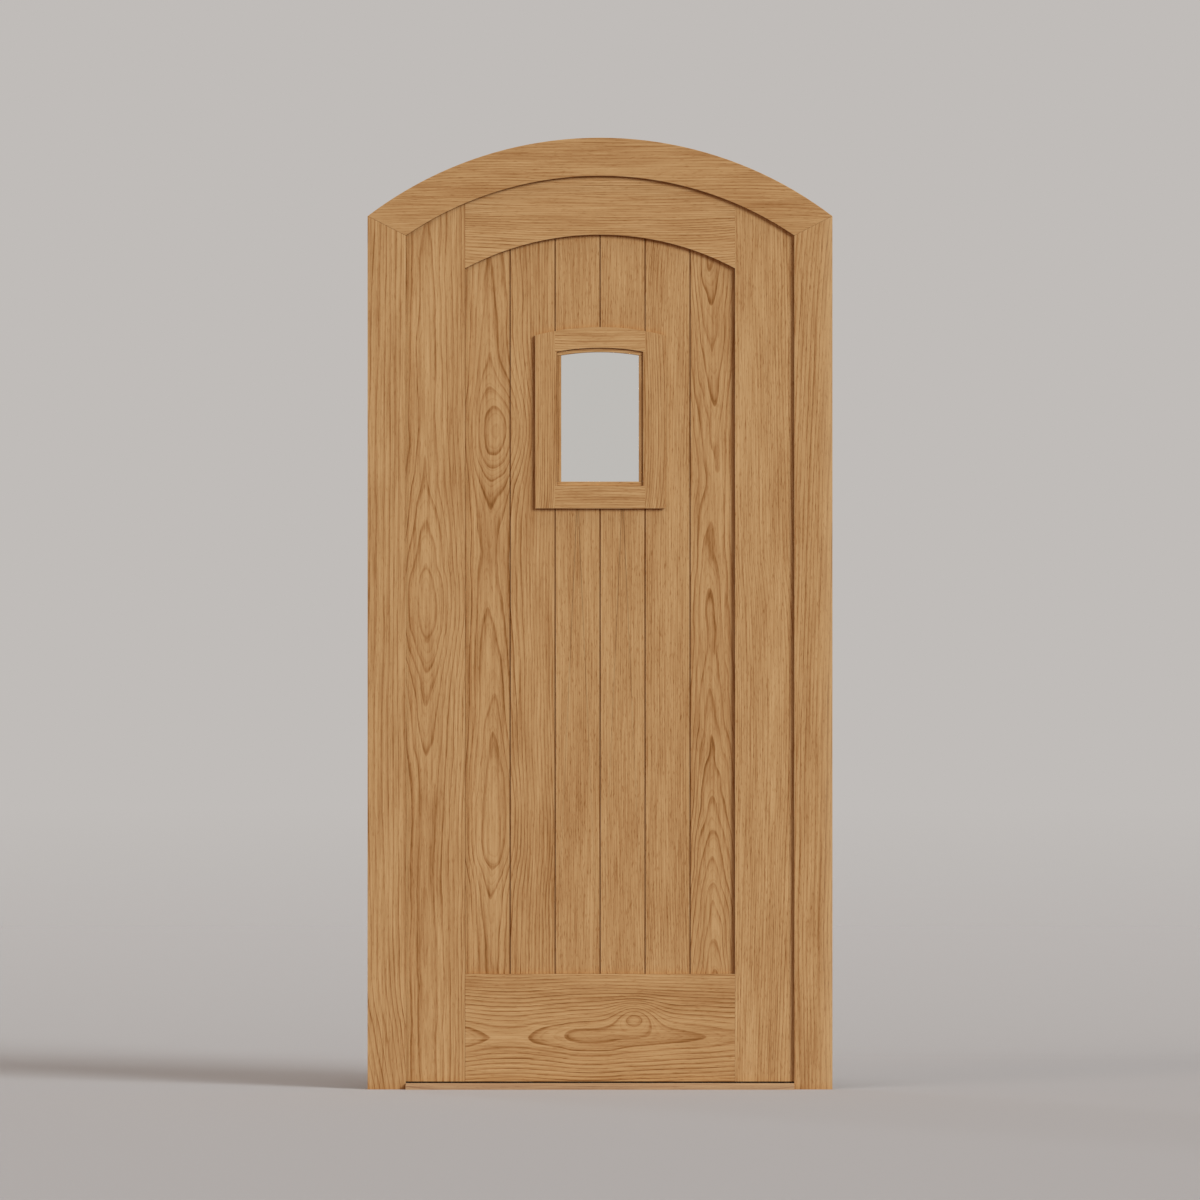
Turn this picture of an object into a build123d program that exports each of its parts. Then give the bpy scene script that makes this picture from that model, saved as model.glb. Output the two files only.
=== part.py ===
from build123d import *
import os
from math import asin, cos, degrees, sin, sqrt

# An arched oak door set: a frame with a sill, and a boarded leaf with a small glazed opening.
# Lengths are in millimetres. Facing the door, x runs to the right, y away and z up.
# The origin is on the floor, in the middle of the doorway and of the frame's depth.

# Leaf
leaf_width = 864.0
leaf_height = 1981.0
leaf_thickness = 44.0
leaf_arch_radius = 761.0
stile_width = 138.0
top_rail_depth = 137.0
bottom_rail_height = 234.0

# Tenons of the leaf's rails in its stiles
tenon_thickness = 14.0
tenon_length = 60.0
tenon_shoulder = 14.0
tenon_cover = 26.0
joint_clearance = 0.15
end_gap = 1.0

# Planks, tongued into each other and into the stiles and rails
plank_count = 6
plank_thickness = 24.0
plank_gap = 1.8
plank_arris = 0.6
plank_tongue_thickness = 8.0
plank_tongue_reach = 8.0
panel_tongue_reach = 11.0

# Frame around the leaf: an L section whose lip covers the leaf's edge
edge_gap = 3.0
face_gap = 1.5
lip_overlap = 9.0
lip_thickness = 7.5
frame_face = 83.0
loose_tenon_width = 30.0
loose_tenon_length = 60.0

# Sill between the jambs, with a sloping nose
sill_height = 13.5
sill_gap = 3.5
sill_projection = 17.0
sill_nose_height = 8.0
sill_dowel_radius = 3.0
sill_dowel_length = 50.0
sill_dowel_shares = (-0.22, 0.28)

# Seal strips in kerfs in the lip and under the leaf
seal_width = 3.8
seal_kerf_depth = 4.5
seal_stand = 1.2
seal_round = 0.9
seal_clearance = 0.3

# Screw holes through the jambs into the wall
fixing_radius = 5.0
fixing_head_radius = 9.0
fixing_head_depth = 12.0
fixing_low = 130.0
fixing_top_margin = 80.0
fixing_level_shares = (0, 1 / 3, 2 / 3, 1)

# Butt hinges on the left edge, with the barrel behind the leaf
hinge_length = 100.0
hinge_top_margin = 150.0
hinge_low_margin = 195.0
hinge_plate_width = 30.0
hinge_plate_thickness = 3.0
hinge_barrel_radius = 6.5
hinge_barrel_gap = 0.5
hinge_knuckle_count = 5
hinge_knuckle_gap = 0.4
hinge_pin_radius = 3.0
hinge_pin_clearance = 0.05
hinge_pin_head_radius = 5.0
hinge_pin_head_height = 3.0
hinge_pin_head_round = 1.5

# Countersunk screws
screw_radius = 2.0
screw_head_radius = 4.0
screw_tip_length = 4.0
screw_recess_width = 0.9
screw_recess_length = 4.4
screw_recess_depth = 1.2
hinge_screw_length = 28.0
hinge_screw_level_shares = (-0.38, -0.14, 0.14, 0.38)
hinge_screw_depth_shares = (0.36, 0.68, 0.36, 0.68)
vision_screw_bite = 5.0
vision_screw_level_shares = (0.14, 0.5, 0.86)

# Glazed opening: applied frames on both faces, beads and a pane
vision_drop = 338.0
vision_height = 395.0
vision_radius = 560.0
vision_side_face = 47.0
vision_top_face = 45.0
vision_bottom_face = 49.0
vision_leg = 4.0
vision_proud = 9.0
bead_width = 9.4
bead_setback = 5.5
glass_thickness = 8.0
glass_edge_gap = 1.0
glazing_block_height = 3.0
glazing_block_length = 25.0

# Room beyond the solid for cuts
overrun = 5.0

# Places that follow from the sizes above
leaf_half = leaf_width / 2
cheek_x = leaf_half + edge_gap
lip_x = leaf_half - lip_overlap
frame_half = lip_x + frame_face
stile_x = leaf_half - stile_width
plank_pitch = 2 * stile_x / plank_count

frame_depth = lip_thickness + face_gap + leaf_thickness
back_y = frame_depth / 2
front_y = -back_y
lip_back_y = front_y + lip_thickness
mid_y = back_y - leaf_thickness / 2

leaf_low = sill_height + sill_gap
bottom_rail_top = leaf_low + bottom_rail_height
arch_z = leaf_low + leaf_height - leaf_arch_radius
top_rail_radius = leaf_arch_radius - top_rail_depth
rebate_radius = leaf_arch_radius + edge_gap
lip_radius = leaf_arch_radius - lip_overlap
head_radius = lip_radius + frame_face
head_top = arch_z + head_radius

groove_depth = panel_tongue_reach + end_gap
groove_thickness = tenon_thickness + 2 * joint_clearance
mortise_length = tenon_length + end_gap

seal_inset = lip_overlap / 2
kerf_width = seal_width + 2 * joint_clearance

vision_low = leaf_low + leaf_height - vision_drop - vision_height
vision_arch_z = vision_low + vision_height - vision_radius
opening_low = vision_low + vision_bottom_face
opening_half = plank_pitch - vision_leg
opening_radius = vision_radius - vision_top_face
vision_half = opening_half + vision_side_face
hole_radius = opening_radius - bead_width

hinge_x = -(leaf_half + cheek_x) / 2
hinge_y = back_y + hinge_barrel_radius + hinge_barrel_gap
knuckle_pitch = hinge_length / hinge_knuckle_count
screw_hole_radius = screw_radius + joint_clearance
screw_head_depth = screw_head_radius - screw_radius
vision_screw_length = vision_proud + plank_thickness + vision_screw_bite

sides = {"left": -1, "right": 1}
faces = {"front": -1, "back": 1}


def arch_height(radius, x):
    """Height of an arch of the door at the place x."""
    return arch_z + sqrt(radius**2 - x**2)


outer_corner_z = arch_height(head_radius, frame_half)
inner_corner_z = arch_height(lip_radius, lip_x)
mitre_rise = outer_corner_z - inner_corner_z
groove_top = arch_height(top_rail_radius + groove_depth, stile_x)

hinge_top = arch_height(leaf_arch_radius, leaf_half) - hinge_top_margin - hinge_length / 2
hinge_low = leaf_low + hinge_low_margin + hinge_length / 2
hinge_levels = {
    "top": hinge_top,
    "middle": (hinge_top + hinge_low) / 2,
    "bottom": hinge_low,
}

fixing_high = inner_corner_z - fixing_top_margin
fixing_levels = [fixing_low + share * (fixing_high - fixing_low) for share in fixing_level_shares]

# Heights of the rails' tenons: low and high end of each
bottom_tenon = (leaf_low + tenon_cover, bottom_rail_top - groove_depth - tenon_shoulder)
top_tenon = (
    groove_top + tenon_shoulder,
    arch_height(leaf_arch_radius, stile_x + mortise_length) - tenon_cover,
)


def mitre_height(x):
    """Height of the mitre between jamb and head at the distance x from the middle."""
    return inner_corner_z + (x - lip_x) * mitre_rise / frame_face


def face_plane(y):
    """Upright plane at the depth y, seen from the front; extruding goes towards the front."""
    return Plane(origin=(0, y, 0), x_dir=(1, 0, 0), z_dir=(0, -1, 0))


def span(x0, x1, y0, y1, mode=Mode.ADD):
    """Rectangle between two corners of a sketch."""
    with Locations(((x0 + x1) / 2, (y0 + y1) / 2)):
        Rectangle(abs(x1 - x0), abs(y1 - y0), mode=mode)


def arch(radius, mode=Mode.ADD, centre=arch_z):
    """Disc of an arch's radius about its centre."""
    with Locations((0, centre)):
        Circle(radius, mode=mode)


def under_arch(x0, x1, low, radius, centre=arch_z):
    """Outline between two places, from a level line up to an arch."""
    crest = (x0 + x1) / 2
    start, middle, end = [(x, centre + sqrt(radius**2 - x**2)) for x in (x0, crest, x1)]
    with BuildLine() as outline:
        Polyline(start, (x0, low), (x1, low), end)
        ThreePointArc(end, middle, start)
    make_face(outline.edges())


def keep(builder, name):
    """Labels a finished piece and writes it."""
    builder.part.label = name
    export_step(builder.part, f"parts/{name}.step")


os.makedirs("parts", exist_ok=True)


def mitre_plane(side):
    """Plane of a mitre, in the middle of the jamb's full-depth part, facing up into the head."""
    x = (cheek_x + frame_half) / 2
    return Plane(
        origin=(side * x, mid_y, mitre_height(x)),
        x_dir=(side * frame_face, 0, mitre_rise),
        z_dir=(-side * mitre_rise, 0, frame_face),
    )


def loose_tenon(side, clearance, mode):
    """Flat tenon across a mitre, half in the jamb and half in the head."""
    with BuildSketch(mitre_plane(side)) as section:
        Rectangle(loose_tenon_width + 2 * clearance, tenon_thickness + 2 * clearance)
    extrude(section.sketch, amount=loose_tenon_length / 2 + clearance, both=True, mode=mode)


def sill_dowel_planes(side):
    """Planes of the sill's dowels on a jamb's cheek, facing out of the doorway."""
    return [
        Plane(
            origin=(side * cheek_x, share * frame_depth, sill_height / 2),
            z_dir=(side, 0, 0),
        )
        for share in sill_dowel_shares
    ]


def hinge_screw_planes(x, way):
    """Planes of all hinge screws on an edge at x, with the screws pointing the given way."""
    return [
        Plane(
            origin=(
                x,
                back_y - depth_share * hinge_plate_width,
                level + level_share * hinge_length,
            ),
            z_dir=(-way, 0, 0),
        )
        for level in hinge_levels.values()
        for level_share, depth_share in zip(hinge_screw_level_shares, hinge_screw_depth_shares)
    ]


def hinge_recesses(x, way):
    """Seats of the hinge plates and pilot holes of their screws, cut into an edge at x."""
    seat_front = back_y - hinge_plate_width - joint_clearance
    for level in hinge_levels.values():
        with BuildSketch(Plane.XY.offset(level)) as seat:
            span(x, x + way * hinge_plate_thickness, seat_front, back_y)
        half_length = hinge_length / 2 + joint_clearance
        extrude(seat.sketch, amount=half_length, both=True, mode=Mode.SUBTRACT)
    with Locations(*hinge_screw_planes(x, way)):
        Hole(screw_hole_radius, depth=hinge_screw_length + end_gap)


def screws(planes, length):
    """Countersunk screws whose heads lie flush with the given planes."""
    with Locations(*planes):
        Cone(
            screw_radius,
            screw_head_radius,
            screw_head_depth,
            align=(Align.CENTER, Align.CENTER, Align.MAX),
        )
        Cylinder(
            screw_radius,
            length - screw_tip_length,
            align=(Align.CENTER, Align.CENTER, Align.MAX),
        )
    with Locations(*[plane.offset(screw_tip_length - length) for plane in planes]):
        Cone(
            0,
            screw_radius,
            screw_tip_length,
            align=(Align.CENTER, Align.CENTER, Align.MAX),
        )
    for turn in (0, 90):
        with Locations(*planes):
            Box(
                screw_recess_length,
                screw_recess_width,
                2 * screw_recess_depth,
                rotation=(0, 0, turn),
                mode=Mode.SUBTRACT,
            )


# Jambs: L section, mitred to the head, with a kerf for the seal and holes for wall fixings
for hand, side in sides.items():
    with BuildPart() as jamb:
        with BuildSketch(face_plane(back_y)):
            Polygon(
                (side * cheek_x, 0),
                (side * frame_half, 0),
                (side * frame_half, outer_corner_z),
                (side * cheek_x, mitre_height(cheek_x)),
                align=None,
            )
        extrude(amount=frame_depth)
        with BuildSketch(face_plane(lip_back_y)):
            Polygon(
                (side * lip_x, 0),
                (side * cheek_x, 0),
                (side * cheek_x, mitre_height(cheek_x)),
                (side * lip_x, inner_corner_z),
                align=None,
            )
        extrude(amount=lip_thickness)
        with BuildSketch(face_plane(lip_back_y)):
            kerf_x = lip_x + seal_inset
            span(
                side * (kerf_x - kerf_width / 2),
                side * (kerf_x + kerf_width / 2),
                -overrun,
                outer_corner_z,
            )
        extrude(amount=seal_kerf_depth, mode=Mode.SUBTRACT)
        loose_tenon(side, joint_clearance, Mode.SUBTRACT)
        with Locations(*sill_dowel_planes(side)):
            Hole(sill_dowel_radius + joint_clearance, depth=sill_dowel_length / 2 + end_gap)
        with Locations(
            *[
                Plane(origin=(side * cheek_x, 0, level), z_dir=(-side, 0, 0))
                for level in fixing_levels
            ]
        ):
            CounterBoreHole(fixing_radius, fixing_head_radius, fixing_head_depth)
        if side < 0:
            hinge_recesses(-cheek_x, -1)
    keep(jamb, f"jamb_{hand}")

# Arched head, with the same section as the jambs
with BuildPart() as arched_head:
    head_outline = (
        (-frame_half, outer_corner_z),
        (-lip_x, inner_corner_z),
        (lip_x, inner_corner_z),
        (frame_half, outer_corner_z),
        (frame_half, head_top),
        (-frame_half, head_top),
    )
    with BuildSketch(face_plane(back_y)):
        arch(head_radius)
        arch(rebate_radius, mode=Mode.SUBTRACT)
        Polygon(*head_outline, align=None, mode=Mode.INTERSECT)
    extrude(amount=frame_depth)
    with BuildSketch(face_plane(lip_back_y)):
        arch(head_radius)
        arch(lip_radius, mode=Mode.SUBTRACT)
        Polygon(*head_outline, align=None, mode=Mode.INTERSECT)
    extrude(amount=lip_thickness)
    with BuildSketch(face_plane(lip_back_y)):
        arch(lip_radius + seal_inset + kerf_width / 2)
        arch(lip_radius + seal_inset - kerf_width / 2, mode=Mode.SUBTRACT)
    extrude(amount=seal_kerf_depth, mode=Mode.SUBTRACT)
    for side in sides.values():
        loose_tenon(side, joint_clearance, Mode.SUBTRACT)
keep(arched_head, "arched_head")

for hand, side in sides.items():
    with BuildPart() as head_tenon:
        loose_tenon(side, 0, Mode.ADD)
    keep(head_tenon, f"head_tenon_{hand}")

# Sill: notched round the jambs' lips, its nose sloping down in front of the frame
with BuildPart() as sill:
    nose_y = front_y - sill_projection
    with BuildSketch(Plane.YZ.offset(-lip_x)):
        Polygon(
            (nose_y, 0),
            (back_y, 0),
            (back_y, sill_height),
            (front_y, sill_height),
            (nose_y, sill_nose_height),
            align=None,
        )
    extrude(amount=2 * lip_x)
    with BuildSketch(Plane.XY):
        span(-cheek_x, cheek_x, lip_back_y, back_y)
    extrude(amount=sill_height)
    for side in sides.values():
        with Locations(*sill_dowel_planes(side)):
            Hole(sill_dowel_radius + joint_clearance, depth=sill_dowel_length / 2 + end_gap)
keep(sill, "sill")

with BuildPart() as sill_dowels:
    for side in sides.values():
        with Locations(*sill_dowel_planes(side)):
            Cylinder(sill_dowel_radius, sill_dowel_length)
keep(sill_dowels, "sill_dowels")


def seal_section(x):
    """Section of the seal strip, from the bottom of its kerf to its rounded lip."""
    span(
        x - seal_width / 2,
        x + seal_width / 2,
        lip_back_y - seal_kerf_depth,
        lip_back_y + seal_stand,
    )
    fillet(vertices().group_by(Axis.Y)[-1], seal_round)


# Seal strips in the lips of the jambs and of the head
seal_x = lip_x + seal_inset
seal_radius = lip_radius + seal_inset
seal_angle = asin(seal_x / seal_radius)
seal_top = arch_z + (seal_radius - seal_width / 2) * cos(seal_angle) - joint_clearance
for hand, side in sides.items():
    with BuildPart() as seal:
        with BuildSketch(Plane.XY.offset(sill_height)):
            seal_section(side * seal_x)
        extrude(amount=seal_top - sill_height)
    keep(seal, f"seal_{hand}")

with BuildPart() as seal_head:
    seal_end = Plane(
        origin=(0, 0, arch_z),
        x_dir=(sin(seal_angle), 0, cos(seal_angle)),
        z_dir=(-cos(seal_angle), 0, sin(seal_angle)),
    )
    with BuildSketch(seal_end):
        seal_section(seal_radius)
    revolve(
        axis=Axis((0, 0, arch_z), (0, -1, 0)), revolution_arc=2 * degrees(seal_angle)
    )
keep(seal_head, "seal_head")


def panel_grooves():
    """Groove for the boarding's tongues, all round the inside of the stiles and rails."""
    half_width = stile_x + groove_depth
    with BuildSketch(face_plane(mid_y + groove_thickness / 2)) as panel:
        under_arch(
            -half_width,
            half_width,
            bottom_rail_top - groove_depth,
            top_rail_radius + groove_depth,
        )
    extrude(panel.sketch, amount=groove_thickness, mode=Mode.SUBTRACT)


def lower_kerf():
    """Kerf for the seal strip in the leaf's lower edge."""
    with BuildSketch(Plane.XY.offset(leaf_low)) as kerf:
        span(-leaf_half, leaf_half, mid_y - kerf_width / 2, mid_y + kerf_width / 2)
    extrude(kerf.sketch, amount=seal_kerf_depth, mode=Mode.SUBTRACT)


# Stiles of the leaf, up to its arch, with mortises for the rails
for hand, side in sides.items():
    with BuildPart() as stile:
        with BuildSketch(face_plane(back_y)):
            under_arch(side * stile_x, side * leaf_half, leaf_low, leaf_arch_radius)
        extrude(amount=leaf_thickness)
        panel_grooves()
        lower_kerf()
        with BuildSketch(face_plane(mid_y + groove_thickness / 2)):
            for low, high in (bottom_tenon, top_tenon):
                span(
                    side * stile_x,
                    side * (stile_x + mortise_length),
                    low - joint_clearance,
                    high + joint_clearance,
                )
        extrude(amount=groove_thickness, mode=Mode.SUBTRACT)
        if side < 0:
            hinge_recesses(-leaf_half, 1)
    keep(stile, f"stile_{hand}")


def rail_tenons(tenon):
    """Tenons at both ends of a rail, between two heights."""
    with BuildSketch(face_plane(mid_y + tenon_thickness / 2)) as ends:
        for side in sides.values():
            span(side * stile_x, side * (stile_x + tenon_length), *tenon)
    extrude(ends.sketch, amount=tenon_thickness)


# Rails of the leaf, tenoned into the stiles
with BuildPart() as top_rail:
    with BuildSketch(face_plane(back_y)):
        arch(leaf_arch_radius)
        arch(top_rail_radius, mode=Mode.SUBTRACT)
        span(-stile_x, stile_x, arch_z, head_top, mode=Mode.INTERSECT)
    extrude(amount=leaf_thickness)
    panel_grooves()
    rail_tenons(top_tenon)
keep(top_rail, "top_rail")

with BuildPart() as bottom_rail:
    with BuildSketch(face_plane(back_y)):
        span(-stile_x, stile_x, leaf_low, bottom_rail_top)
    extrude(amount=leaf_thickness)
    panel_grooves()
    lower_kerf()
    rail_tenons(bottom_tenon)
keep(bottom_rail, "bottom_rail")

# Seal strip under the leaf, just clear of the sill
with BuildPart() as seal_bottom:
    with BuildSketch(Plane.YZ.offset(-leaf_half)):
        span(
            mid_y - seal_width / 2,
            mid_y + seal_width / 2,
            sill_height + seal_clearance,
            leaf_low + seal_kerf_depth,
        )
        fillet(vertices().group_by(Axis.Y)[0], seal_round)
    extrude(amount=leaf_width)
keep(seal_bottom, "seal_bottom")


def vision_screw_planes():
    """Planes of the screws through the opening's back frame, on its face, facing back."""
    face_middle = (plank_pitch + vision_half) / 2
    rail_x = plank_pitch / 2
    ring_radius = (vision_radius + opening_radius + vision_leg) / 2
    rail_levels = (
        (vision_low + opening_low - vision_leg) / 2,
        vision_arch_z + sqrt(ring_radius**2 - rail_x**2),
    )
    places = [(rail_x, level) for level in rail_levels]
    places += [(face_middle, vision_low + share * vision_height) for share in vision_screw_level_shares]
    face_y = mid_y + plank_thickness / 2 + vision_proud
    return [
        Plane(origin=(side * x, face_y, level), z_dir=(0, 1, 0))
        for side in sides.values()
        for x, level in places
    ]


def vision_screw_holes():
    """Holes for the opening's screws, countersunk into the back frame."""
    with Locations(*vision_screw_planes()):
        CounterSinkHole(
            screw_hole_radius,
            screw_head_radius + joint_clearance,
            depth=vision_screw_length + joint_clearance,
            counter_sink_angle=90,
        )


def plank_edge(x, way, reach, thickness):
    """Outline of a plank's long edge, front to back: a tongue, or a groove where reach is negative."""
    front = mid_y - plank_thickness / 2
    back = mid_y + plank_thickness / 2
    return [
        (x - way * plank_arris, front),
        (x, front + plank_arris),
        (x, mid_y - thickness / 2),
        (x + way * reach, mid_y - thickness / 2),
        (x + way * reach, mid_y + thickness / 2),
        (x, mid_y + thickness / 2),
        (x, back - plank_arris),
        (x - way * plank_arris, back),
    ]


def plank_section(index):
    """Section of a plank: the outer edges fit the stiles, the others each other."""
    left_x = -stile_x + index * plank_pitch
    if index == 0:
        left = plank_edge(left_x + joint_clearance, -1, panel_tongue_reach, tenon_thickness)
    else:
        left = plank_edge(
            left_x + plank_gap / 2,
            -1,
            plank_gap - plank_tongue_reach - end_gap,
            plank_tongue_thickness + 2 * joint_clearance,
        )
    right_x = left_x + plank_pitch
    if index == plank_count - 1:
        right = plank_edge(right_x - joint_clearance, 1, panel_tongue_reach, tenon_thickness)
    else:
        right = plank_edge(
            right_x - plank_gap / 2, 1, plank_tongue_reach, plank_tongue_thickness
        )
    return right + left[::-1]


def plank_shoulders():
    """Cuts the planks' ends back to tongues, on the front and on the back."""
    depth = (plank_thickness - tenon_thickness) / 2
    for y in (mid_y + plank_thickness / 2, mid_y - tenon_thickness / 2):
        with BuildSketch(face_plane(y)) as shoulders:
            span(-leaf_half, leaf_half, arch_z, head_top)
            arch(top_rail_radius - joint_clearance, mode=Mode.SUBTRACT)
            span(-leaf_half, leaf_half, leaf_low, bottom_rail_top + joint_clearance)
        extrude(shoulders.sketch, amount=depth, mode=Mode.SUBTRACT)


def under_vision(x0, x1, low, radius):
    """Outline between two places, from a level line up to an arch of the glazed opening."""
    under_arch(x0, x1, low, radius, centre=vision_arch_z)


def vision_cut(index):
    """Cut-out in the boarding, two planks wide with their tongues, lined by the opening's frames."""
    half_width = plank_pitch + joint_clearance
    if abs(index - (plank_count - 1) / 2) < 1:
        half_width += plank_tongue_reach
    lining = vision_leg + joint_clearance
    with BuildSketch(face_plane(back_y)) as cut:
        under_vision(-half_width, half_width, opening_low - lining, opening_radius + lining)
    extrude(cut.sketch, amount=leaf_thickness, mode=Mode.SUBTRACT)


# Planks: the opening cuts the middle two into a lower and an upper piece
for index in range(plank_count):
    with BuildPart() as plank:
        with BuildSketch(Plane.XY.offset(bottom_rail_top - panel_tongue_reach)):
            Polygon(*plank_section(index), align=None)
        extrude(amount=head_top - bottom_rail_top)
        with BuildSketch(face_plane(back_y)):
            half_width = stile_x + panel_tongue_reach
            under_arch(-half_width, half_width, leaf_low, top_rail_radius + panel_tongue_reach)
        extrude(amount=leaf_thickness, mode=Mode.INTERSECT)
        plank_shoulders()
        vision_cut(index)
        vision_screw_holes()
    pieces = plank.solids().sort_by(Axis.Z)
    ends = ("_lower", "_upper") if len(pieces) > 1 else ("",)
    for piece, end in zip(pieces, ends):
        with BuildPart() as board:
            add(piece)
        keep(board, f"plank_{index + 1}{end}")


def layer(y0, y1):
    """Plane and thickness of a layer between two depths, in either order."""
    return face_plane(max(y0, y1)), abs(y1 - y0)


def vision_arch(radius, mode=Mode.ADD):
    """Disc of an arch of the glazed opening."""
    arch(radius, mode=mode, centre=vision_arch_z)


# Applied frames of the glazed opening: stiles full height, rails between them
for face, way in faces.items():
    seat_y = mid_y + way * plank_thickness / 2
    face_y = seat_y + way * vision_proud
    face_layer = layer(seat_y, face_y)
    leg_layer = layer(mid_y, face_y)

    for hand, side in sides.items():
        with BuildPart() as vision_stile:
            with BuildSketch(face_layer[0]):
                under_vision(side * plank_pitch, side * vision_half, vision_low, vision_radius)
            extrude(amount=face_layer[1])
            with BuildSketch(leg_layer[0]):
                leg_radius = opening_radius - joint_clearance
                under_vision(side * opening_half, side * plank_pitch, opening_low, leg_radius)
            extrude(amount=leg_layer[1])
            vision_screw_holes()
        keep(vision_stile, f"vision_{face}_stile_{hand}")

    with BuildPart() as vision_bottom_rail:
        with BuildSketch(face_layer[0]):
            span(-plank_pitch, plank_pitch, vision_low, opening_low)
        extrude(amount=face_layer[1])
        with BuildSketch(leg_layer[0]):
            span(-plank_pitch, plank_pitch, opening_low - vision_leg, opening_low)
        extrude(amount=leg_layer[1])
        vision_screw_holes()
    keep(vision_bottom_rail, f"vision_{face}_bottom_rail")

    with BuildPart() as vision_top_rail:
        for (plane, depth), radius in (
            (face_layer, vision_radius),
            (leg_layer, opening_radius + vision_leg),
        ):
            with BuildSketch(plane):
                vision_arch(radius)
                vision_arch(opening_radius, mode=Mode.SUBTRACT)
                span(-plank_pitch, plank_pitch, opening_low, head_top, mode=Mode.INTERSECT)
            extrude(amount=depth)
        vision_screw_holes()
    keep(vision_top_rail, f"vision_{face}_top_rail")

    # Beads that hold the pane, set back from the applied frame's face
    bead_layer = layer(mid_y + way * glass_thickness / 2, face_y - way * bead_setback)
    hole_low = opening_low + bead_width
    hole_half = opening_half - bead_width
    for hand, side in sides.items():
        with BuildPart() as side_bead:
            with BuildSketch(bead_layer[0]):
                side_radius = hole_radius - joint_clearance
                under_vision(side * hole_half, side * opening_half, hole_low, side_radius)
            extrude(amount=bead_layer[1])
        keep(side_bead, f"bead_{face}_{hand}")

    with BuildPart() as bottom_bead:
        with BuildSketch(bead_layer[0]):
            span(-opening_half, opening_half, opening_low, hole_low)
        extrude(amount=bead_layer[1])
    keep(bottom_bead, f"bead_{face}_bottom")

    with BuildPart() as top_bead:
        with BuildSketch(bead_layer[0]):
            vision_arch(opening_radius - joint_clearance)
            vision_arch(hole_radius, mode=Mode.SUBTRACT)
            span(-opening_half, opening_half, hole_low, head_top, mode=Mode.INTERSECT)
        extrude(amount=bead_layer[1])
    keep(top_bead, f"bead_{face}_top")

# Pane and the blocks that it stands on
with BuildPart() as vision_glass:
    with BuildSketch(face_plane(mid_y + glass_thickness / 2)):
        glass_half = opening_half - glass_edge_gap
        under_vision(
            -glass_half,
            glass_half,
            opening_low + glazing_block_height,
            opening_radius - glass_edge_gap,
        )
    extrude(amount=glass_thickness)
keep(vision_glass, "vision_glass")

with BuildPart() as glazing_blocks:
    with BuildSketch(face_plane(mid_y + glass_thickness / 2)):
        for side in sides.values():
            block_x = side * opening_half / 2
            span(
                block_x - glazing_block_length / 2,
                block_x + glazing_block_length / 2,
                opening_low,
                opening_low + glazing_block_height,
            )
    extrude(amount=glass_thickness)
keep(glazing_blocks, "glazing_blocks")

with BuildPart() as vision_screws:
    screws(vision_screw_planes(), vision_screw_length)
keep(vision_screws, "vision_screws")


def hinge_plate(level, x, way, first_knuckle):
    """Plate let into an edge at x, with every second knuckle of the barrel."""
    plate_back_x = x + way * hinge_plate_thickness
    with BuildSketch(Plane.XY.offset(level)) as flat:
        span(x, plate_back_x, back_y - hinge_plate_width, back_y)
    extrude(flat.sketch, amount=hinge_length / 2, both=True)
    for knuckle in range(first_knuckle, hinge_knuckle_count, 2):
        low = level - hinge_length / 2 + knuckle * knuckle_pitch + hinge_knuckle_gap / 2
        with BuildSketch(Plane.XY.offset(low)) as loop:
            span(x, plate_back_x, back_y - hinge_plate_width / 2, hinge_y)
            with Locations((hinge_x, hinge_y)):
                Circle(hinge_barrel_radius)
        extrude(loop.sketch, amount=knuckle_pitch - hinge_knuckle_gap)
    with Locations((hinge_x, hinge_y, level)):
        Hole(hinge_pin_radius + hinge_pin_clearance)
    with Locations(*hinge_screw_planes(x, way)):
        CounterSinkHole(
            screw_hole_radius,
            screw_head_radius + joint_clearance,
            depth=hinge_screw_length,
            counter_sink_angle=90,
        )


# Hinges: a plate on the jamb, a plate on the leaf and the pin that joins them
for name, level in hinge_levels.items():
    with BuildPart() as frame_plate:
        hinge_plate(level, -cheek_x, -1, 0)
    keep(frame_plate, f"hinge_{name}_frame_plate")

    with BuildPart() as leaf_plate:
        hinge_plate(level, -leaf_half, 1, 1)
    keep(leaf_plate, f"hinge_{name}_leaf_plate")

    with BuildPart() as pin:
        with Locations((hinge_x, hinge_y, level)):
            Cylinder(hinge_pin_radius, hinge_length)
        for way in (-1, 1):
            head_z = level + way * (hinge_length + hinge_pin_head_height - hinge_knuckle_gap) / 2
            with Locations((hinge_x, hinge_y, head_z)):
                Cylinder(hinge_pin_head_radius, hinge_pin_head_height)
        rims = edges().filter_by(GeomType.CIRCLE).sort_by(Axis.Z)
        fillet((rims[0], rims[-1]), hinge_pin_head_round)
    keep(pin, f"hinge_{name}_pin")

with BuildPart() as frame_hinge_screws:
    screws(hinge_screw_planes(-cheek_x, -1), hinge_screw_length)
keep(frame_hinge_screws, "frame_hinge_screws")

with BuildPart() as leaf_hinge_screws:
    screws(hinge_screw_planes(-leaf_half, 1), hinge_screw_length)
keep(leaf_hinge_screws, "leaf_hinge_screws")
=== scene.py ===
from math import radians

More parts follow.
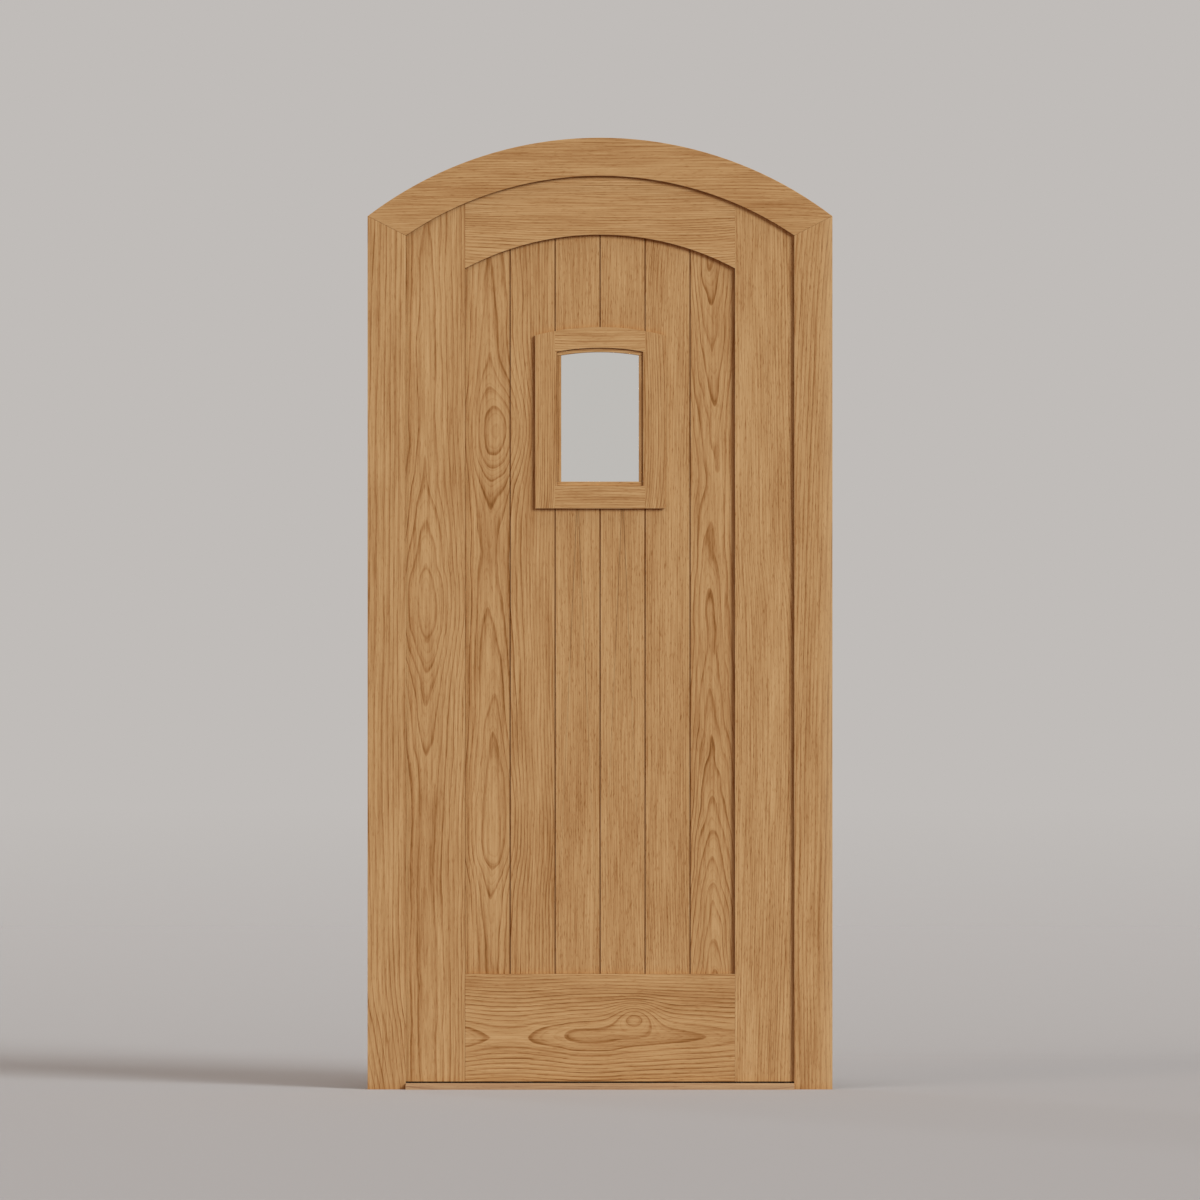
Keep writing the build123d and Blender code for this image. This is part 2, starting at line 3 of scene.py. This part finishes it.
import bpy
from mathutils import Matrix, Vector


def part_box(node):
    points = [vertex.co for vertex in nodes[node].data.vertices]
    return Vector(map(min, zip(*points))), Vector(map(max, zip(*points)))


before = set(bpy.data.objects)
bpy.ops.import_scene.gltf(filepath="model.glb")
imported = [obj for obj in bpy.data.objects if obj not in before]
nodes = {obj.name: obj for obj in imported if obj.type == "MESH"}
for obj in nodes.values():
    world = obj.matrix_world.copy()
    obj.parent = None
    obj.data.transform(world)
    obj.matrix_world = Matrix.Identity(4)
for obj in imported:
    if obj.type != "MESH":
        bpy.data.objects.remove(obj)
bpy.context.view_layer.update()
scene = bpy.context.scene
millimetres_per_metre = 1000
# Value that a noise has on average
noise_middle = 0.5


def colour(red, green, blue):
    """Linear colour of an sRGB colour given in steps of 255."""
    shares = [step / 255 for step in (red, green, blue)]
    return [s / 12.92 if s <= 0.04045 else ((s + 0.055) / 1.055) ** 2.4 for s in shares] + [1.0]


def set_inputs(tree, made, inputs):
    """Gives a node's inputs their sockets or values."""
    for key, value in inputs.items():
        if isinstance(value, bpy.types.NodeSocket):
            tree.links.new(value, made.inputs[key])
        else:
            made.inputs[key].default_value = value


def node(tree, kind, inputs=None, **settings):
    """A new shader node."""
    made = tree.nodes.new("ShaderNode" + kind)
    for key, value in settings.items():
        setattr(made, key, value)
    set_inputs(tree, made, inputs or {})
    return made


def maths(tree, operation, *values, clamp=False):
    """Socket with the result of an operation on numbers."""
    made = node(tree, "Math", dict(enumerate(values)), operation=operation, use_clamp=clamp)
    return made.outputs[0]


def vector_maths(tree, operation, *values):
    """Socket with the result of an operation on vectors."""
    return node(tree, "VectorMath", dict(enumerate(values)), operation=operation).outputs[0]


def squares(tree, first, second):
    """Sum of the squares of two numbers."""
    return maths(tree, "MULTIPLY_ADD", first, first, maths(tree, "MULTIPLY", second, second))


def ranged(tree, value, start, end, low=0.0, high=1.0):
    """A number's run from start to end, turned into a run from low to high."""
    limits = {"Value": value, "From Min": start, "From Max": end, "To Min": low, "To Max": high}
    return node(tree, "MapRange", limits).outputs[0]


def mixed(tree, share, first, second, blend="MIX"):
    """Two colours mixed by the share of the second."""
    return node(tree, "MixRGB", {0: share, 1: first, 2: second}, blend_type=blend).outputs[0]


def bumped(tree, height, strength, distance):
    """Normal of a surface with a height."""
    return node(tree, "Bump", {"Height": height, "Strength": strength, "Distance": distance}).outputs[0]


def noise(tree, place, size, detail=1.0):
    """Noise drawn out along the grain; its grains have a length and a width in millimetres."""
    along, across = size
    scaled = vector_maths(tree, "MULTIPLY", place, (1 / along, 1 / across, 1 / across))
    return node(tree, "TexNoise", {"Vector": scaled, "Scale": 1.0, "Detail": detail}).outputs


def centred_noise(tree, place, size, detail=1.0):
    """Number that wanders about zero."""
    return maths(tree, "SUBTRACT", noise(tree, place, size, detail)["Fac"], noise_middle)


def offset(tree, place, size, reach):
    """Vector that wanders about zero."""
    centred = vector_maths(tree, "SUBTRACT", noise(tree, place, size)["Color"], [noise_middle] * 3)
    return node(tree, "VectorMath", {0: centred, "Scale": reach}, operation="SCALE").outputs[0]


def set_curve(curve, points):
    """Puts a curve through points whose places and values run from 0 to 1."""
    line = curve.mapping.curves[0]
    line.points[0].location = points[0]
    line.points[1].location = points[-1]
    for place, value in points[1:-1]:
        line.points.new(place, value)
    curve.mapping.update()


def set_ramp(ramp, stops):
    """Puts colours at places along a ramp."""
    elements = ramp.color_ramp.elements
    for element, (place, shade) in zip(elements, (stops[0], stops[-1])):
        element.position = place
        element.color = shade
    for place, shade in stops[1:-1]:
        elements.new(place).color = shade


def new_material(name):
    """A material, its node tree and its shader."""
    material = bpy.data.materials.new(name)
    material.use_nodes = True
    tree = material.node_tree
    return material, tree, tree.nodes["Principled BSDF"]


def place_in_metres(tree):
    """Place on the object, as a vector."""
    return node(tree, "TexCoord").outputs["Object"]


def place_in_millimetres(tree):
    """Place on the object, as x, y and z."""
    place = vector_maths(tree, "MULTIPLY", place_in_metres(tree), [millimetres_per_metre] * 3)
    return node(tree, "SeparateXYZ", {0: place}).outputs


# Oak: shades from pale to dark, and the darkness across one growth ring, from the pith side out
oak_shades = [
    (0.0, colour(192, 158, 113)),
    (0.3, colour(178, 141, 95)),
    (0.55, colour(161, 119, 74)),
    (0.8, colour(141, 97, 51)),
    (1.0, colour(121, 77, 35)),
]
ring_profile = [(0, 0.05), (0.36, 0.05), (0.6, 0.18), (0.8, 0.6), (0.91, 1), (1, 0.05)]
# Sizes of the noises along and across the grain, in millimetres
sway_size = (480, 80)
waver_size = (115, 34)
tone_size = (420, 40)
figure_size = (260, 45)
streak_size = (110, 4.4)
dash_size = (26, 1.3)
pore_size = (15, 2.0)
# How finely the streaks' noise is divided
streak_detail = 3.0
# How far the rings are moved in and out and over what length, in millimetres
ring_unevenness = 5
ring_unevenness_size = 22
# How pointed the rings are over the pith, and the rounding of the points in millimetres
point_share = 0.1
point_round = 4
# Finer lines between the rings
fine_line_count = 2.63
fine_line_share = 0.25
# How strong a ring's line is in its year, how far it is broken into dashes, and how clear it is
year_least = 0.6
year_range = 0.5
dash_middle = 0.8
dash_range = 1.6
clear_least = 0.2
clear_range = 1.6
# Values of the noise at which a pore starts and is whole
pore_start = 0.58
pore_whole = 0.72
# What tone, streaks, pores and lines each add to the darkness
tone_share = 0.4
streak_share = 0.85
pore_share = 0.3
line_share = 0.58
# Roughness of pale wood, what dark wood adds to it, and the sheen
oak_roughness = 0.6
dark_roughness = 0.25
oak_specular = 0.06
# Relief of the grain: its share and its height in metres
grain_strength = 0.35
grain_height = 0.0004
# Stain that has gathered along the joints between planks; pitch and reach are in millimetres
plank_pitch = 98
joint_count = 5
stain_reach = 1.8
stain_colour = colour(158, 82, 14)
# Painted shade in inner corners: its reach in metres, its rays and what it leaves of the colour
painted_shade_reach = 0.02
painted_shade_rays = 4
painted_shade_colour = (0.92, 0.75, 0.55, 1)
# What weathering and a paler band along a board's edge bring a board towards
weather_colour = colour(150, 146, 140)
pale_band_colour = colour(202, 172, 128)
# The noises of each board start at a place of their own
first_seed = 6
seed_step = Vector((731.0, 197.0, 89.0))


def knot_dip(tree, along, across, knot, size):
    """How far a knot pulls the rings in."""
    knot_along, knot_across, pull = node(tree, "SeparateXYZ", {0: knot}).outputs
    length, width, _ = node(tree, "SeparateXYZ", {0: size}).outputs
    length_share = maths(tree, "DIVIDE", maths(tree, "SUBTRACT", along, knot_along), length)
    width_share = maths(tree, "DIVIDE", maths(tree, "SUBTRACT", across, knot_across), width)
    fall = maths(tree, "MULTIPLY", squares(tree, length_share, width_share), -1)
    return maths(tree, "MULTIPLY", pull, maths(tree, "EXPONENT", fall))


def ring_radius(tree, place, given):
    """Distance from the pith, pulled in at a knot, pointed over the pith and a little uneven."""
    along, across, deep = node(tree, "SeparateXYZ", {0: place}).outputs
    from_pith = maths(tree, "SUBTRACT", across, given["Pith side"])
    behind = maths(tree, "SUBTRACT", given["Pith depth"], deep)
    distance = maths(tree, "SQRT", squares(tree, from_pith, behind))
    dip = knot_dip(tree, along, across, given["Knot"], given["Knot size"])
    radius = maths(tree, "SUBTRACT", distance, dip)
    blunt = maths(tree, "SQRT", maths(tree, "MULTIPLY_ADD", from_pith, from_pith, point_round**2))
    radius = maths(tree, "MULTIPLY_ADD", blunt, point_share, radius)
    wander = {"W": maths(tree, "DIVIDE", radius, ring_unevenness_size), "Scale": 1.0, "Detail": 0.0}
    uneven = node(tree, "TexNoise", wander, noise_dimensions="1D").outputs["Fac"]
    return maths(tree, "MULTIPLY_ADD", uneven, ring_unevenness, radius)


def ring_lines(tree, rings, seeded, figure):
    """Darkness of the rings' lines and the finer ones between them, broken and clearer in places."""
    profiles = []
    for count in (1, fine_line_count):
        share = maths(tree, "FRACT", maths(tree, "MULTIPLY", rings, count))
        profile = node(tree, "FloatCurve", {"Value": share})
        set_curve(profile, ring_profile)
        profiles.append(profile.outputs[0])
    ring_line, fine_line = profiles
    whole = maths(tree, "FLOOR", rings)
    year = node(tree, "TexWhiteNoise", {"W": whole}, noise_dimensions="1D").outputs["Value"]
    strength = maths(tree, "MULTIPLY_ADD", year, year_range, year_least)
    ring_line = maths(tree, "MULTIPLY", ring_line, strength)
    lines = maths(tree, "MULTIPLY_ADD", fine_line, fine_line_share, ring_line)
    dash = centred_noise(tree, seeded, dash_size)
    broken = maths(tree, "MULTIPLY_ADD", dash, dash_range, dash_middle)
    clear = maths(tree, "MULTIPLY_ADD", noise(tree, seeded, figure_size)["Fac"], clear_range, clear_least)
    clear = maths(tree, "MULTIPLY", clear, figure)
    return maths(tree, "MULTIPLY", maths(tree, "MULTIPLY", lines, broken), clear)


def oak_group():
    """Oak: growth rings about a pith, streaks and pores.

    Place is in millimetres: along the grain, across it and into the board.
    """
    tree = bpy.data.node_groups.new("oak_grain", "ShaderNodeTree")
    for name, kind in (
        ("Place", "Vector"),
        ("Pith depth", "Float"),
        ("Pith side", "Float"),
        ("Ring", "Float"),
        ("Sway", "Float"),
        ("Waver", "Float"),
        ("Figure", "Float"),
        ("Fleck", "Float"),
        ("Tone", "Float"),
        ("Knot", "Vector"),
        ("Knot size", "Vector"),
        ("Seed", "Vector"),
    ):
        tree.interface.new_socket(name, in_out="INPUT", socket_type="NodeSocket" + kind)
    for name, kind in (("Color", "Color"), ("Roughness", "Float"), ("Height", "Float")):
        tree.interface.new_socket(name, in_out="OUTPUT", socket_type="NodeSocket" + kind)
    given = tree.nodes.new("NodeGroupInput").outputs
    shown = tree.nodes.new("NodeGroupOutput")

    seeded = vector_maths(tree, "ADD", given["Place"], given["Seed"])
    sway = offset(tree, seeded, sway_size, given["Sway"])
    waver = offset(tree, seeded, waver_size, given["Waver"])
    moved = vector_maths(tree, "ADD", vector_maths(tree, "ADD", given["Place"], sway), waver)
    rings = maths(tree, "DIVIDE", ring_radius(tree, moved, given), given["Ring"])
    line = ring_lines(tree, rings, seeded, given["Figure"])

    tone = centred_noise(tree, seeded, tone_size)
    streak = centred_noise(tree, seeded, streak_size, streak_detail)
    pore = ranged(tree, noise(tree, seeded, pore_size)["Fac"], pore_start, pore_whole)
    speck = maths(tree, "MULTIPLY", pore, given["Fleck"])
    amount = maths(tree, "MULTIPLY_ADD", tone, tone_share, given["Tone"])
    amount = maths(tree, "MULTIPLY_ADD", streak, streak_share, amount)
    amount = maths(tree, "MULTIPLY_ADD", speck, pore_share, amount)
    amount = maths(tree, "MULTIPLY_ADD", line, line_share, amount, clamp=True)
    shade = node(tree, "ValToRGB", {"Fac": amount})
    set_ramp(shade, oak_shades)
    results = {
        "Color": shade.outputs["Color"],
        "Roughness": maths(tree, "MULTIPLY_ADD", amount, dark_roughness, oak_roughness),
        "Height": maths(tree, "MULTIPLY", amount, -1),
    }
    set_inputs(tree, shown, results)
    return tree


oak_grain = oak_group()


def pith_depth(tree, along, ring, depth, turns):
    """Depth of the pith by the place along the grain."""
    places, counts = zip(*turns)
    start = places[0]
    length = places[-1] - start
    least = min(counts)
    spread = max(counts) - least
    curve = node(tree, "FloatCurve", {"Value": ranged(tree, along, start, places[-1])})
    set_curve(curve, [((place - start) / length, (count - least) / spread) for place, count in turns])
    return maths(tree, "MULTIPLY_ADD", curve.outputs[0], spread * ring, depth + least * ring)


def stained_at_joints(tree, shade, x):
    """A shade that is browner along the planks' joints, one of them in the middle of the door."""
    near = ranged(tree, maths(tree, "PINGPONG", x, plank_pitch / 2), stain_reach, 0.0)
    inner = maths(tree, "LESS_THAN", maths(tree, "ABSOLUTE", x), joint_count * plank_pitch / 2)
    return mixed(tree, maths(tree, "MULTIPLY", near, inner), shade, stain_colour)


def painted_corner_shade(tree, shade):
    """Painted shade: the colour made darker and browner where other faces are near, as in inner corners.
    """
    # Painted shade: ambient occlusion darkens and browns the colour where other faces are near
    corner = node(tree, "AmbientOcclusion", {"Distance": painted_shade_reach}, samples=painted_shade_rays).outputs["AO"]
    painted_shade_share = maths(tree, "SUBTRACT", 1, corner)
    return mixed(tree, painted_shade_share, shade, painted_shade_colour, "MULTIPLY")


def oak(
    name, seed, upright, side, depth, ring, turns,
    sway=8, waver=3, figure=1.0, fleck=0.6, tone=0.26, lean=0.0,
    knot=(0, 0, 0), knot_size=(52, 26, 0), joined=False, weather=0.0, pale_band=None,
):
    """Oak cut so that its rings lie about a pith, either weathered or with painted shade in its inner
    corners.
    """
    material, tree, shader = new_material("oak_" + name)
    x, y, z = place_in_millimetres(tree)
    along, level = (z, x) if upright else (x, z)
    across = maths(tree, "MULTIPLY_ADD", along, -lean, level)
    given = {
        "Place": node(tree, "CombineXYZ", {"X": along, "Y": across, "Z": y}).outputs[0],
        "Pith depth": pith_depth(tree, along, ring, depth, turns),
        "Pith side": side,
        "Ring": ring,
        "Sway": sway,
        "Waver": waver,
        "Figure": figure,
        "Fleck": fleck,
        "Tone": tone,
        "Knot": knot,
        "Knot size": knot_size,
        "Seed": seed * seed_step,
    }
    grain = node(tree, "Group", given, node_tree=oak_grain).outputs
    shade = grain["Color"]
    if joined:
        shade = stained_at_joints(tree, shade, x)
    # A paler band along the board's edge
    if pale_band:
        start, end, share = pale_band
        shade = mixed(tree, ranged(tree, level, start, end, high=share), shade, pale_band_colour)
    if weather:
        shade = mixed(tree, weather, shade, weather_colour)
    else:
        # Painted shade: the colour darkens and browns in inner corners
        shade = painted_corner_shade(tree, shade)
    looks = {
        "Base Color": shade,
        "Roughness": grain["Roughness"],
        "Specular IOR Level": oak_specular,
        "Normal": bumped(tree, grain["Height"], grain_strength, grain_height),
    }
    set_inputs(tree, shader, looks)
    return material


# How each board is cut. Lengths are in millimetres. The pith lies at a side, which is a place across
# the grain, and at a depth. A turn is a place along the grain and the number of rings by which the pith
# lies deeper there, so each whole step makes one point of the figure. A knot is a place along and
# across the grain and how far it pulls the rings in. A pale band along an edge has a start, an end and
# a share.
cuts = {
    "jamb_left": dict(
        upright=True, side=-640, depth=160, ring=9.5, sway=14, figure=0.8, lean=0.006,
        turns=[(0, -4), (130, -1.2), (280, 0.8), (900, 1.6), (1900, 1)],
    ),
    "jamb_right": dict(
        upright=True, side=690, depth=170, ring=8, sway=14, figure=0.8, fleck=0.9, lean=0.02,
        turns=[(0, 0), (800, -2), (1900, 3)],
        pale_band=(474, 502, 0.36),
    ),
    "arched_head": dict(
        upright=False, side=2150, depth=120, ring=4.6, sway=16, figure=0.6, tone=0.3,
        turns=[(-510, 0), (0, 4), (510, -1)],
    ),
    "sill": dict(
        upright=False, side=90, depth=110, ring=7, figure=0.7, tone=0.32, weather=0.2,
        turns=[(-440, 0), (0, -2), (440, 0)],
    ),
    "stile_left": dict(
        upright=True, side=-380, depth=92, ring=5.6, waver=4.5, figure=0.9,
        turns=[
            (0, 4.3), (412, 4.35), (590, 4.3), (667, 4.1), (767, 3.6), (874, 2.8), (920, 2.1),
            (983, 1), (1059, 0.3), (1137, 1), (1251, 2.1), (1353, 2.8), (1480, 3.25), (1700, 3.5),
            (1940, 3.6),
        ],
    ),
    "stile_right": dict(
        upright=True, side=580, depth=150, ring=5, sway=14, figure=0.75, fleck=1.0, tone=0.21,
        turns=[(0, 0), (500, 4), (900, 6), (1200, 1), (1940, -2)],
    ),
    "top_rail": dict(
        upright=False, side=1700, depth=120, ring=4.6, sway=20, figure=0.95, tone=0.2,
        turns=[(-360, 0), (0, 5), (360, 1)],
    ),
    "bottom_rail": dict(
        upright=False, side=114, depth=46, ring=7,
        turns=[
            (-360, 0.4), (-294, 0.9), (-263, 1.3), (-215, 1.7), (-180, 1.7), (-141, 1.3), (-87, 0.6),
            (-22, 0), (57, 0.6), (157, 1.4), (230, 1.8), (294, 2.3), (360, 2.5),
        ],
        knot=(78, 164, 29),
        knot_size=(46, 32, 0),
    ),
    "plank_1": dict(
        upright=True, side=-236, depth=61.8, ring=6.5, sway=14, waver=6, figure=0.88, tone=0.28,
        joined=True,
        turns=[
            (240, 2.5), (391, 2.2), (478, 1.2), (597, 0), (652, 0.3), (759, 1.4), (920, 2.2),
            (1109, 2.7), (1220, 2.65), (1292, 2.5), (1350, 2.1), (1425, 1.7), (1544, 2), (1719, 2.6),
            (1850, 2.8),
        ],
        knot=(1431, -202, 22),
        knot_size=(98, 84, 0),
    ),
    "plank_3": dict(
        upright=True, side=480, depth=220, ring=5, figure=0.45, fleck=1.0, tone=0.29, joined=True,
        turns=[(240, 0), (1000, 6), (1850, -2)],
    ),
    "plank_4": dict(
        upright=True, side=-430, depth=200, ring=5, figure=0.5, fleck=1.0, joined=True,
        turns=[(240, 0), (1000, 8), (1850, 4)],
    ),
    "plank_5": dict(
        upright=True, side=600, depth=230, ring=5.5, figure=0.6, fleck=1.0, joined=True,
        turns=[(240, 0), (1000, -4), (1850, 4)],
    ),
    "plank_6": dict(
        upright=True, side=246, depth=95, ring=5.5, sway=20, waver=8, figure=0.82, tone=0.29,
        joined=True,
        turns=[
            (240, -9.9), (330, -8.55), (397, -7.8), (458, -6.8), (510, -6.15), (571, -5.35), (634, -4.65),
            (728, -3.8), (856, -2.3), (1006, -1.65), (1174, -0.4), (1290, 0), (1363, -0.15),
            (1470, -1), (1592, -2.25), (1718, -2.9), (1850, -4),
        ],
    ),
    "vision_stile": dict(
        upright=True, side=330, depth=120, ring=5.5, figure=0.85,
        turns=[(1260, 0), (1450, 4), (1670, 2)],
    ),
    "vision_rail": dict(
        upright=False, side=1450, depth=110, ring=5, figure=0.7, tone=0.2,
        turns=[(-150, 0), (0, 2), (150, -1)],
    ),
}
boards = {name: oak(name, seed, **cut) for seed, (name, cut) in enumerate(cuts.items(), first_seed)}

# Plain finishes: the noise values of their two colours, and the share and height of their relief
worn_detail = 3.0
worn_low = 0.3
worn_high = 0.7
worn_strength = 0.2
worn_height = 0.0002


def worn(name, low, high, roughness, size, metallic=0.0):
    """Finish whose colour and roughness run between two values in an upright, drawn-out noise."""
    material, tree, shader = new_material(name)
    x, y, z = place_in_millimetres(tree)
    place = node(tree, "CombineXYZ", {"X": z, "Y": x, "Z": y}).outputs[0]
    grain = noise(tree, place, size, worn_detail)["Fac"]
    shade = node(tree, "ValToRGB", {"Fac": grain})
    set_ramp(shade, [(worn_low, low), (worn_high, high)])
    looks = {
        "Base Color": shade.outputs["Color"],
        "Metallic": metallic,
        "Roughness": ranged(tree, grain, 0.0, 1.0, *roughness),
        "Normal": bumped(tree, grain, worn_strength, worn_height),
    }
    set_inputs(tree, shader, looks)
    return material


steel = worn(
    "hinge_steel", colour(172, 171, 168), colour(196, 195, 192), (0.26, 0.42), (60, 0.5), metallic=1.0,
)
rubber = worn("seal_rubber", colour(104, 62, 38), colour(126, 78, 48), (0.6, 0.8), (12, 3))
plastic = worn("block_plastic", colour(44, 44, 46), colour(58, 58, 60), (0.45, 0.6), (10, 4))

# Clear glass, its waves in grains to a metre and their relief in metres
glass_colour = (0.97, 0.985, 0.975, 1)
glass_index = 1.45
glass_roughness = 0.02
wave_scale = 9.0
wave_strength = 0.05
wave_height = 0.0005


def clear_glass():
    """Clear pane, a little uneven."""
    material, tree, shader = new_material("clear_glass")
    waves = {"Vector": place_in_metres(tree), "Scale": wave_scale, "Detail": 1.0}
    wave = node(tree, "TexNoise", waves).outputs["Fac"]
    looks = {
        "Base Color": glass_colour,
        "Transmission Weight": 1.0,
        "IOR": glass_index,
        "Roughness": ranged(tree, wave, 0.0, 1.0, high=glass_roughness),
        "Normal": bumped(tree, wave, wave_strength, wave_height),
    }
    set_inputs(tree, shader, looks)
    return material


glass = clear_glass()


def finish_of(name):
    """Material of a CAD node by its name."""
    for part, material in (
        ("hinge", steel),
        ("screws", steel),
        ("seal", rubber),
        ("blocks", plastic),
        ("glass", glass),
    ):
        if part in name:
            return material
    if name in boards:
        return boards[name]
    for part, board in (
        ("head_tenon", "jamb_left"),
        ("sill", "sill"),
        ("plank_2", "plank_1"),
        ("plank_3", "plank_3"),
        ("plank_4", "plank_4"),
        ("stile", "vision_stile"),
        ("left", "vision_stile"),
        ("right", "vision_stile"),
    ):
        if part in name:
            return boards[board]
    return boards["vision_rail"]


# Edges are eased by these widths in metres, where two faces meet at more than an angle in degrees
jamb_arris = 0.0016
plain_arris = 0.0009
fine_arris = 0.0003
arris_steps = 2
arris_angle = 35
finely_edged = ("plank", "hinge", "screws", "seal", "blocks", "glass", "dowels")
# Before that, points that are this near in metres become one, and the parts of flat faces with screw
# holes are joined, up to a bend in degrees
weld_reach = 0.00001
flat_angle = 0.2
for name, piece in nodes.items():
    piece.data.materials.clear()
    piece.data.materials.append(finish_of(name))
    piece.modifiers.new("weld", "WELD").merge_threshold = weld_reach
    if name.startswith("vision_back"):
        flat = piece.modifiers.new("flat", "DECIMATE")
        flat.decimate_type = "DISSOLVE"
        flat.angle_limit = radians(flat_angle)
    arris = piece.modifiers.new("arris", "BEVEL")
    arris.width = plain_arris
    if name.startswith("jamb"):
        arris.width = jamb_arris
    elif any(word in name for word in finely_edged):
        arris.width = fine_arris
    arris.segments = arris_steps
    arris.harden_normals = True
    arris.limit_method = "ANGLE"
    arris.angle_limit = radians(arris_angle)

# Stage: a pale floor that fades into the backdrop's colour, and gives a browner light than it shows
wall_colour = colour(192, 188, 185)
floor_colour = colour(178, 175, 173)
bounce_colour = colour(148, 114, 98)
floor_roughness = 0.9
floor_specular = 0.1
# How far the floor goes each way, in metres
floor_reach = 80.0
# The floor fades with the distance in metres from a place in front of the door
fade_place = (0.0, -8.0, 0.0)
fade_start = 10.0
fade_end = 46.0
fade_power = 0.5


def seen_ray(tree):
    """1 where a surface is seen, also by way of glass or metal, and 0 where it only gives light."""
    path = node(tree, "LightPath").outputs
    seen = maths(tree, "MAXIMUM", path["Is Camera Ray"], path["Is Glossy Ray"])
    return maths(tree, "MAXIMUM", seen, path["Is Transmission Ray"])


def floor_finish():
    """Plain floor that fades out."""
    material, tree, shader = new_material("floor")
    span = {0: place_in_metres(tree), 1: fade_place}
    distance = node(tree, "VectorMath", span, operation="DISTANCE").outputs["Value"]
    fade = maths(tree, "POWER", ranged(tree, distance, fade_start, fade_end), fade_power)
    looks = {
        "Base Color": mixed(tree, seen_ray(tree), bounce_colour, floor_colour),
        "Roughness": floor_roughness,
        "Specular IOR Level": floor_specular,
        "Alpha": maths(tree, "SUBTRACT", 1, fade),
    }
    set_inputs(tree, shader, looks)
    return material


floor_mesh = bpy.data.meshes.new("floor")
corners = [(x, y, 0) for x, y in ((-1, -1), (1, -1), (1, 1), (-1, 1))]
floor_mesh.from_pydata([Vector(corner) * floor_reach for corner in corners], [], [(0, 1, 2, 3)])
floor_mesh.materials.append(floor_finish())
floor = bpy.data.objects.new("floor", floor_mesh)
scene.collection.objects.link(floor)

# Light: a soft key from the right, a weaker and warmer fill from the left, one from above that leans
# to the front, level ones on the back and the left side, and an even, warmer sky. Each lamp has the
# way towards it, its strength, its spread in degrees and its tint.
lamps = {
    "key": (Vector((0.9, -1.0, 0.55)), 2.9, 26, (0.94, 1.03, 1.09)),
    "fill": (Vector((-0.9, -1.0, 0.51)), 0.52, 30, (1.0, 0.78, 0.64)),
    "top": (Vector((0.0, -0.2, 1.0)), 0.92, 20, (0.95, 0.97, 1.0)),
    "back": (Vector((-0.55, 1.0, 0.0)), 2.3, 8, (0.94, 1.0, 1.06)),
    "side": (Vector((-1.0, 0.2, 0.0)), 1.6, 8, (0.94, 1.0, 1.06)),
}
# Narrow lamps are not met by way of the glass, where they would leave bright specks
narrow_spread = 10
for name, (towards, strength, spread, tint) in lamps.items():
    lamp = bpy.data.lights.new(name, "SUN")
    lamp.energy = strength
    lamp.color = tint
    lamp.angle = radians(spread)
    lamp.cycles.use_multiple_importance_sampling = spread > narrow_spread
    holder = bpy.data.objects.new(name, lamp)
    holder.rotation_euler = towards.to_track_quat("Z", "Y").to_euler()
    scene.collection.objects.link(holder)

# Sky and backdrop: what gives light and what is seen
sky_colour = (1.0, 0.76, 0.62, 1)
sky_strength = 0.25
world = bpy.data.worlds.new("studio")
world.use_nodes = True
scene.world = world
world_tree = world.node_tree
sky = world_tree.nodes["Background"]
set_inputs(world_tree, sky, {"Color": sky_colour, "Strength": sky_strength})
backdrop = node(world_tree, "Background", {"Color": wall_colour, "Strength": 1.0})
surroundings = {0: seen_ray(world_tree), 1: sky.outputs[0], 2: backdrop.outputs[0]}
both = node(world_tree, "MixShader", surroundings).outputs[0]
set_inputs(world_tree, world_tree.nodes["World Output"], {"Surface": both})

# Camera: level, square on to the door, far off as in the photograph, whose scale is that of the
# frame's front face
image_pixels = 1200
floor_row = 1089.45
metres_per_pixel = 2.177 / millimetres_per_metre
view_width = image_pixels * metres_per_pixel
view_height = (floor_row - image_pixels / 2) * metres_per_pixel
view_distance = 28.0
frame_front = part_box("jamb_left")[0].y
camera = bpy.data.cameras.new("camera")
camera.sensor_width = 36.0
camera.lens = camera.sensor_width * view_distance / view_width
camera.clip_end = 200.0
viewer = bpy.data.objects.new("camera", camera)
viewer.location = (0.0, frame_front - view_distance, view_height)
viewer.rotation_euler = (radians(90), 0, 0)
scene.collection.objects.link(viewer)
scene.camera = viewer

scene.view_settings.view_transform = "Standard"
